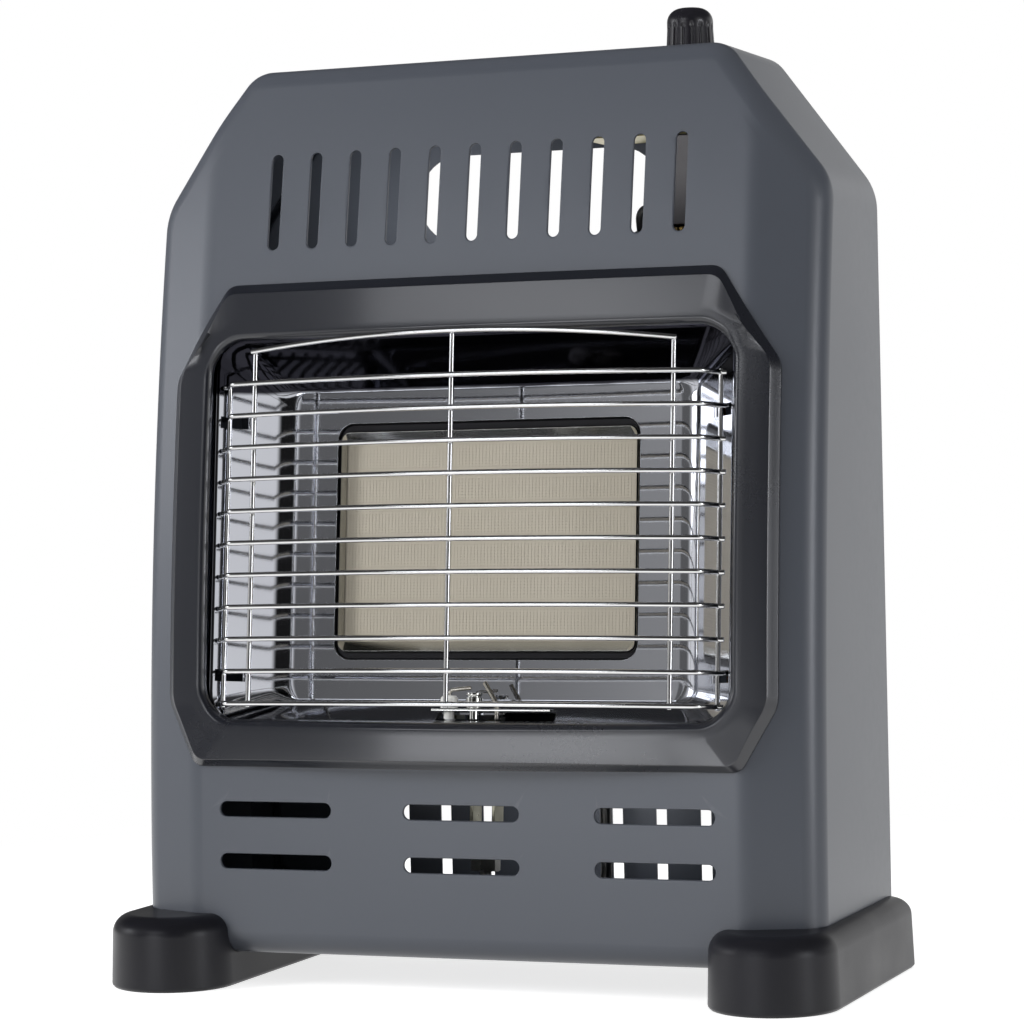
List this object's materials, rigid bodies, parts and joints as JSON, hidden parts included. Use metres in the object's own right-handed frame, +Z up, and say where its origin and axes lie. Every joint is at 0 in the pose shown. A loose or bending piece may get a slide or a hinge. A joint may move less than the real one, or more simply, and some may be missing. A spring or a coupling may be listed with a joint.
{
  "type": "portable gas cabinet heater",
  "caption": "Upright slotted steel cabinet heater with a gas radiant burner behind a bowed wire guard, two moulded feet and a turn-and-push control knob on top.",
  "frame": {"origin": "on the floor plane, under the middle of the two feet", "axes": "+Z up, +X to the right as the heater is faced, -Y out of the burner's front"},
  "size_m": [0.316, 0.143, 0.4034],
  "materials": {
    "cover_paint": "satin dark slate grey enamel, smooth",
    "panel_paint": "satin dark slate grey enamel",
    "screw_steel": "bright zinc plate",
    "foot_plastic": "satin black moulded plastic, faint grain",
    "bezel_gloss": "gloss black, mirror-like",
    "polished_steel": "polished bright sheet",
    "plaque_ceramic": "matte perforated grey-beige ceramic",
    "gasket_fibre": "soft white-grey fibre",
    "bright_steel": "bright sheet steel",
    "burner_casting": "as-cast, dull",
    "tube_steel": "plain steel tube",
    "zinc_plate": "zinc-plated sheet",
    "valve_brass": "machined brass",
    "guard_chrome": "bright chrome-plated wire",
    "white_ceramic": "white glazed ceramic",
    "probe_steel": "heat-resisting steel",
    "yellow_zinc": "yellow-passivated zinc plate",
    "valve_casting": "dark, slightly rough casting",
    "knob_plastic": "satin black moulded plastic",
    "spring_steel": "bright spring wire",
    "piezo_plastic": "satin black",
    "lead_copper": "bare copper tube",
    "lead_sleeve": "white silicone sleeve"
  },
  "bodies": {
    "cabinet": {"front_cover": "cover_paint", "base_plate": "panel_paint", "rear_panel": "panel_paint", "rear_screw_1": "screw_steel", "rear_screw_2": "screw_steel", "rear_screw_3": "screw_steel", "rear_screw_4": "screw_steel", "rear_screw_5": "screw_steel", "rear_screw_6": "screw_steel", "foot_left": "foot_plastic", "foot_right": "foot_plastic", "foot_screw_1": "screw_steel", "foot_screw_2": "screw_steel", "foot_screw_3": "screw_steel", "foot_screw_4": "screw_steel", "bezel": "bezel_gloss", "reflector": "polished_steel", "ceramic_plaque": "plaque_ceramic", "plaque_gasket": "gasket_fibre", "plaque_frame": "bright_steel", "burner_box": "burner_casting", "mixer_tube": "tube_steel", "injector_bracket": "zinc_plate", "injector": "valve_brass", "injector_nut": "screw_steel", "guard": "guard_chrome", "pilot_bracket": "bright_steel", "pilot_burner": "bright_steel", "electrode_ceramic": "white_ceramic", "spark_electrode": "probe_steel", "thermocouple_tip": "probe_steel", "valve_bracket": "yellow_zinc", "valve_body": "valve_casting", "valve_nut": "valve_brass", "magnet_unit": "valve_brass", "piezo_igniter": "piezo_plastic", "inlet_nozzle": "valve_brass", "inlet_nut": "valve_brass", "burner_pipe": "tube_steel", "pilot_pipe": "tube_steel", "thermocouple_lead": "lead_copper", "ignition_lead": "lead_sleeve", "return_spring": "spring_steel"},
    "plug": {"valve_plug": "valve_brass"},
    "knob": {"valve_spindle": "screw_steel", "control_knob": "knob_plastic"}
  },
  "joints": [
    {"name": "knob_turn", "type": "hinge", "parent": "cabinet", "child": "plug", "pos_m": [0.079, 0.0335, 0.33], "axis": [0, 0, 1], "range_deg": [0, 180]},
    {"name": "knob_press", "type": "slide", "parent": "plug", "child": "knob", "axis": [0, 0, -1], "range_m": [0, 0.004], "stiffness_N_per_m": 600, "springref_m": -0.003, "deforming": ["return_spring"]}
  ]
}
